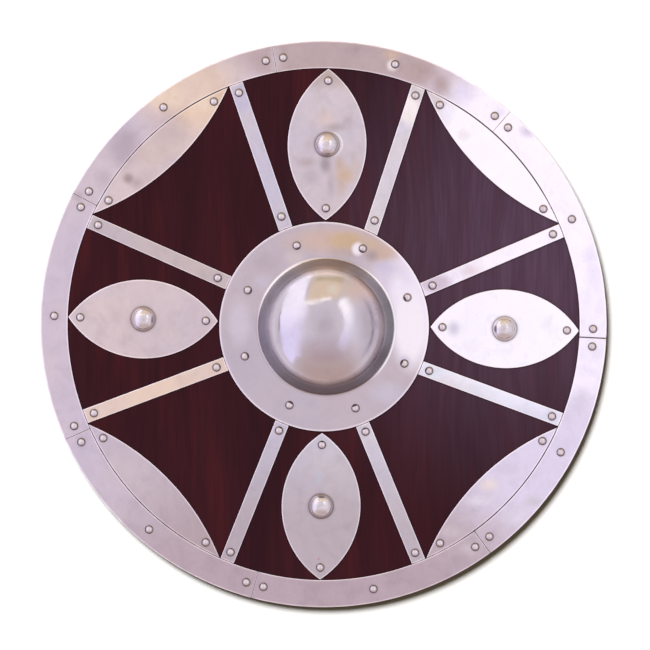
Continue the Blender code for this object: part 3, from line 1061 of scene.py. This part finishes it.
def edge_steel(name, worn_and_highlit, dull):
    """Steel of the plates' rounded edges, bright in uneven lengths as wear and a painted highlight, and
    duller at some of the rim's seams.
    """
    made, tree, shader, place = new_material(name)
    wear = spread(clouds(place, 75.0, 3.0, 0.6), 0.38, 0.60)
    colour = mix(wear, dull, worn_and_highlit)
    for turn, dulling in zip(rim_seams, seam_dulling):
        middle = (*polar(rim_inner + rim_width / 2, turn), plate_top)
        at_seam = spot(place, middle, (rim_width / 2,) * 3, 0.97)
        colour = mix(times(at_seam, dulling), colour, seam_tone)
    feed(shader, {"Base Color": darken_joints(place, colour), "Metallic": 1.0,
                  "Roughness": spread(wear, 0.0, 1.0, 0.42, 0.28)})
    return made


def head_steel(name, middle, edge, core, roughness):
    """Steel of the rivets and studs: bright on top and darker round the edge of each head, a painted shade.
    """
    made, tree, shader, place = new_material(name)
    patches = clouds(place, 260.0, 3.0, 0.6)
    # Darker towards the edge of each head: painted shade
    colour = mix(spread(attribute(tree, "edge_share"), core, 1.0), middle, edge)
    colour = mix(spread(patches, 0.4, 0.7, 0.0, 0.4), colour, tuple(0.7 * value for value in middle))
    rough = spread(patches, 0.3, 0.7, roughness - 0.05, roughness + 0.1)
    feed(shader, {"Base Color": colour, "Roughness": rough, "Metallic": 1.0,
                  "Normal": bumps(patches, 0.00008, 0.5)})
    return made


def with_painted_sheen(place, colour, streaks, fibres):
    """Lay a painted sheen, a pale lavender reflection on the varnish, over the front's right side, broken up
    by the grain.
    """
    on_front = spread(part_of(place, "Z"), 0.5 * board_thickness, board_thickness - board_edge_round)
    factor = times(spot(place, sheen_centre, sheen_radii), spread(streaks, 0.25, 0.7, 0.95, 0.62),
                   spread(fibres, 0.25, 0.7, 1.0, 0.80), on_front, sheen_strength)
    return mix(factor, colour, sheen_tone)


def wood(name, dark, mid, light, turn, has_sheen=False):
    """Stained wood with long wavy grain along Y once turned, streaks, pores and a satin varnish."""
    made, tree, shader, place = new_material(name)
    along = node(tree, "VectorRotate", {"Vector": place, "Angle": math.radians(turn)},
                 rotation_type="Z_AXIS").outputs["Vector"]
    drift = stretched_clouds(along, (9.0, 3.0, 9.0), 2.0)
    sideways = node(tree, "CombineXYZ", {"X": times(drift, 0.05)}).outputs[0]
    grain = vector_of("ADD", along, sideways)
    broad = stretched_clouds(grain, (26.0, 2.2, 26.0), 3.0, 0.55)
    blush = stretched_clouds(grain, (48.0, 5.0, 48.0), 2.0)
    streaks = stretched_clouds(grain, (110.0, 7.0, 110.0), 3.0, 0.6)
    fibres = stretched_clouds(grain, (700.0, 22.0, 700.0), 3.0, 0.65)
    colour = mix(spread(broad, 0.35, 0.68), dark, mid)
    less_at_right = spread(part_of(place, "X"), -0.05, 0.15, 0.75, 0.40)
    redness = times(spread(blush, 0.50, 0.80), less_at_right)
    colour = mix(redness, colour, light)
    colour = mix(spread(streaks, 0.54, 0.82, 0.0, 0.45), colour, light)
    colour = mix(spread(fibres, 0.42, 0.75, 0.0, 0.28), colour, tuple(0.45 * value for value in dark))
    if has_sheen:
        colour = with_painted_sheen(place, colour, streaks, fibres)
    # Painted shade on the wood along the edges of the plates
    colour = with_painted_shade(colour, 0.005, 0.5, 0.97, 0.9, (0.006, 0.004, 0.005))
    feed(shader, {"Base Color": colour, "Roughness": spread(fibres, 0.3, 0.7, 0.34, 0.5),
                  "Specular IOR Level": 0.035, "Normal": bumps(fibres, 0.0002, 0.35)})
    return made


def make_finishes():
    """Make every material of the shield."""
    plate_smudges_and_reflections = [mark for marks_and_reflections in sheet_smudges_and_reflections.values() for mark in marks_and_reflections]
    return {
        "sheet": steel("sheet_steel", cool=(0.61, 0.55, 0.615), warm=(0.65, 0.575, 0.60),
                       roughness=0.30, wave=0.0006, mottle=0.10, marks_and_reflections=plate_smudges_and_reflections),
        "boss": steel("boss_steel", cool=(0.57, 0.53, 0.57), warm=(0.60, 0.545, 0.565),
                      roughness=0.10, wave=0.0002, mottle=0.06, marks_and_reflections=flange_smudges_and_reflections, is_boss=True),
        "edge": edge_steel("edge_steel", worn_and_highlit=(1.0, 0.96, 0.97), dull=(0.80, 0.73, 0.75)),
        # The heads' dark edge tones are painted shade
        "rivet": head_steel("rivet_steel", middle=(0.71, 0.645, 0.645), edge=(0.080, 0.056, 0.058),
                            core=0.40, roughness=0.25),
        "stud": head_steel("stud_steel", middle=(0.68, 0.635, 0.635), edge=(0.40, 0.33, 0.30),
                           core=0.86, roughness=0.16),
        "board": wood("stained_mahogany", dark=(0.0245, 0.0072, 0.0104), mid=(0.034, 0.0084, 0.0122),
                      light=(0.056, 0.0105, 0.0130), turn=0.0, has_sheen=True),
        "grip": wood("grip_wood", dark=(0.050, 0.020, 0.011), mid=(0.105, 0.040, 0.020),
                     light=(0.17, 0.075, 0.036), turn=90.0 - flange_rivet_turn),
    }


# Stage


def toward(azimuth, elevation, distance):
    """Give the point in a direction from the shield's middle."""
    turn, up = math.radians(azimuth), math.radians(elevation)
    return (distance * math.cos(up) * math.cos(turn), distance * math.cos(up) * math.sin(turn),
            distance * math.sin(up))


def only_reflected(made):
    """Let an object of the stage show in the steel only: it sheds no light and hides nothing."""
    for kind in ("camera", "diffuse", "shadow", "transmission", "volume_scatter"):
        setattr(made, f"visible_{kind}", False)


def glowing(name, colour_of, fading=False):
    """Make a glowing material. Its colour is one tone, or worked out from the frame's coordinates."""
    finish, tree, _, place = new_material(name)
    colour = colour_of(place) if callable(colour_of) else rgba(colour_of)
    shown = node(tree, "Emission", {"Color": colour, "Strength": 1.0}).outputs[0]
    if fading:
        clear = node(tree, "BsdfTransparent").outputs[0]
        cover = spread(attribute(tree, "cover"), 0.0, 1.0)
        shown = node(tree, "MixShader", {0: cover, 1: clear, 2: shown}).outputs[0]
    feed(tree.nodes["Material Output"], {"Surface": shown})
    finish.cycles.emission_sampling = "NONE"
    return finish


def on_room(azimuth, elevation):
    """Give the point of the room's wall or ceiling in a direction from its middle."""
    x, y, z = toward(azimuth, elevation, 1.0)
    reach = 1 / math.sqrt((x * x + y * y) / room_reach ** 2 + z * z / room_height ** 2)
    return x * reach, y * reach, z * reach


def room_colour(place):
    """Paint the pale room: grey overhead, where the camera hangs, dim and warm at the bottom."""
    tones = [
        ((0.0, 0.0, room_height), (0.335, 0.335, 1.0), 0.45, (0.93, 0.84, 0.93), 1.0),
        ((0.0, -2.2, 0.5), (2.6, 1.9, 3.0), 0.4, (0.78, 0.63, 0.63), 1.0),
        ((0.4, 2.4, 0.5), (2.4, 1.8, 3.0), 0.4, (1.02, 0.86, 0.76), 1.0),
        (on_room(178, 34), (1.25, 1.25, 0.62), 0.25, (1.16, 1.08, 1.34), 1.0),
        (on_room(150, 44), (0.50, 0.50, 0.50), 0.10, (1.34, 1.27, 1.44), 0.9),
        (on_room(5, 42), (0.85, 0.95, 0.50), 0.20, (1.06, 1.00, 1.12), 1.0),
    ]
    colour = painted(place, (1.0, 0.93, 1.02), tones)
    height = part_of(place, "Z")
    for centre in ((room_reach, -0.1, 0.0), (-room_reach, 0.0, 0.0)):
        beside = spot(place, centre, (2.2, 2.4, 3.0), 0.5)
        rail = times(spread(height, *rail_bottom), spread(height, *rail_top, 1.0, 0.0), beside)
        colour = mix(rail, colour, rail_tone)
    ground = painted(place, (0.78, 0.70, 0.76), [
        ((2.4, -0.8, 0.0), (3.2, 3.0, 3.0), 0.3, (0.50, 0.41, 0.42), 1.0)])
    return mix(spread(height, -0.002, 0.03), ground, colour)


def reflected_room():
    """Make the soft pale room that the steel reflects."""
    shape = bmesh.new()
    bmesh.ops.create_uvsphere(shape, u_segments=96, v_segments=64, radius=1.0)
    for vert in shape.verts:
        vert.co.x *= room_reach
        vert.co.y *= room_reach
        vert.co.z = max(vert.co.z * room_height, room_floor)
    made = object_of("reflected_room", shape)
    made.data.shade_smooth()
    made.data.materials.append(glowing("room_glow", room_colour))
    only_reflected(made)


def panel(name, corners, glow, distance=panel_distance):
    """Hang a glowing panel in the room, its corners in directions seen from the shield."""
    shape = bmesh.new()
    shape.faces.new([shape.verts.new(toward(*corner, distance)) for corner in corners])
    made = object_of(name, shape)
    made.data.materials.append(glowing(name, glow))
    only_reflected(made)


def soft_panel(name, rows, glow):
    """Hang a glowing panel made of rows of directions. Each row has a cover, azimuths and elevations."""
    shape = bmesh.new()
    layer = shape.verts.layers.float.new("cover")
    lower = []
    for cover, azimuths, elevations in rows:
        upper = [shape.verts.new(toward(azimuth, elevation, panel_distance))
                 for azimuth, elevation in zip(azimuths, elevations)]
        for vert in upper:
            vert[layer] = cover
        for i in range(1, len(lower)):
            shape.faces.new((lower[i - 1], lower[i], upper[i], upper[i - 1]))
        lower = upper
    made = object_of(name, shape)
    made.data.materials.append(glowing(name, glow, fading=True))
    only_reflected(made)


def window_glow(place):
    """Paint the left window: white at its top end, lavender below and at its far end."""
    return mix(spread(part_of(place, "Y"), -0.35, 0.75), (1.24, 1.16, 1.54), (1.56, 1.50, 1.66))


def strip_glow(place):
    """Paint the narrow right window: white at its top end, dimmer below."""
    return mix(spread(part_of(place, "Y"), -0.30, 0.60), (1.20, 1.14, 1.40), (1.66, 1.62, 1.66))


def wall_glow(place):
    """Paint the golden wall: peach, with a paler patch and a dim olive band low down."""
    height = part_of(place, "Z")
    colour = painted(place, (1.16, 0.93, 0.70), [
        (toward(80, 32, panel_distance), (0.20, 0.20, 0.26), 0.1, (1.18, 1.10, 0.92), 0.9)])
    return mix(spread(height, 0.24, 0.36), (0.85, 0.71, 0.48), colour)


def panels():
    """Hang the windows and the wall that show in the boss and the studs, by their directions in degrees."""
    panel("gold_wall", [(128, 40), (111, 27), (101, 9), (84, 9), (69, 1), (69, 23), (69, 44), (80, 44),
                        (106, 47)], wall_glow)
    panel("bright_sill", [(134, 43), (128, 40), (106, 47), (80, 44), (79, 48), (108, 52), (122, 51)],
          (1.62, 1.54, 1.46), sill_share * panel_distance)
    soft_panel("left_window", [
        (1.0, (104, 116, 128, 141, 158, 180, 199, 215, 229), (1, -1.5, -0.5, 6.5, 13.5, 16.5, 14.5, 10, 8)),
        (1.0, (128, 129, 130, 143, 158, 180, 199, 213, 224), (36, 37, 38, 38, 38, 38, 36, 32, 26)),
        (0.0, (131, 132, 135, 146, 160, 180, 203, 221, 236), (47, 49, 55, 60, 62, 62, 58, 46, 30)),
    ], window_glow)
    soft_panel("right_strip", [
        (0.0, (60, 52, 37, 18, 0, -25, -44, -54), (33, 28, 33, 40, 44, 45, 41, 40)),
        (1.0, (63, 55, 39, 19, 0, -27, -48, -60), (46, 45, 50, 56, 59, 59, 54, 52)),
        (1.0, (61, 48, 29, 9, -5, -38, -50, -57), (53, 56, 60, 62, 63, 64, 61, 60)),
    ], strip_glow)


def floor():
    """Lay a plain pale floor."""
    shape = bmesh.new()
    bmesh.ops.create_grid(shape, x_segments=1, y_segments=1, size=floor_size)
    made = object_of("floor", shape)
    made.location.z = -floor_drop
    finish, _, shader, _ = new_material("pale_floor")
    feed(shader, {"Base Color": (0.86, 0.86, 0.86, 1.0), "Roughness": 0.9, "Specular IOR Level": 0.0})
    made.data.materials.append(finish)
    made.visible_glossy = False


def lamp(name, kind, energy, colour, place, **settings):
    """Add a lamp that shines at the shield's middle. It lights matt faces only, and isn't reflected."""
    light = bpy.data.lights.new(name, kind)
    light.energy = energy
    light.color = colour
    for key, value in settings.items():
        setattr(light, key, value)
    made = add_object(name, light)
    made.location = place
    made.rotation_mode = "QUATERNION"
    made.rotation_quaternion = (Vector() - Vector(place)).to_track_quat("-Z", "Y")
    made.visible_glossy = False
    made.visible_camera = False


def lights():
    """Light the shield softly from the upper left, with a little warm light from all round."""
    lamp("key", "SUN", 4.4, (1.0, 0.99, 1.0), toward(sun_azimuth, 90 - sun_lean, sun_distance),
         angle=math.radians(sun_spread))
    lamp("fill", "AREA", 15.0, (1.0, 0.80, 0.42), (0.0, 0.0, 3.0), shape="DISK", size=5.0)


def backdrop():
    """Set the pale surroundings."""
    world = bpy.data.worlds.new("pale_room")
    bpy.context.scene.world = world
    world.use_nodes = True
    feed(world.node_tree.nodes["Background"], {"Color": (1.0, 1.0, 1.0, 1.0), "Strength": 1.0})
    world.cycles_visibility.diffuse = False


def camera():
    """Look straight down at the shield, as the photo does, with its top upwards."""
    data = bpy.data.cameras.new("camera")
    data.lens = camera_lens
    data.sensor_width = sensor_width
    data.clip_end = camera_reach
    made = add_object("camera", data)
    made.location = camera_place
    bpy.context.scene.camera = made


def build():
    """Build the shield and its stage."""
    finishes = make_finishes()
    rim_rivets = rim_segments(finishes)
    strap_rivets, rim_ends = straps(finishes)
    corner_rivets = corner_plates(finishes, rim_ends)
    almond_rivets, middles = almond_plates(finishes)
    boss_rivets = boss(finishes)
    studs(finishes, middles)
    board(finishes, rim_rivets + strap_rivets + corner_rivets + almond_rivets + boss_rivets,
          list(middles.values()))
    grip(finishes, boss_rivets)
    reflected_room()
    panels()
    floor()
    lights()
    backdrop()
    camera()
    view = bpy.context.scene.view_settings
    view.view_transform = "Standard"
    view.look = "None"


build()
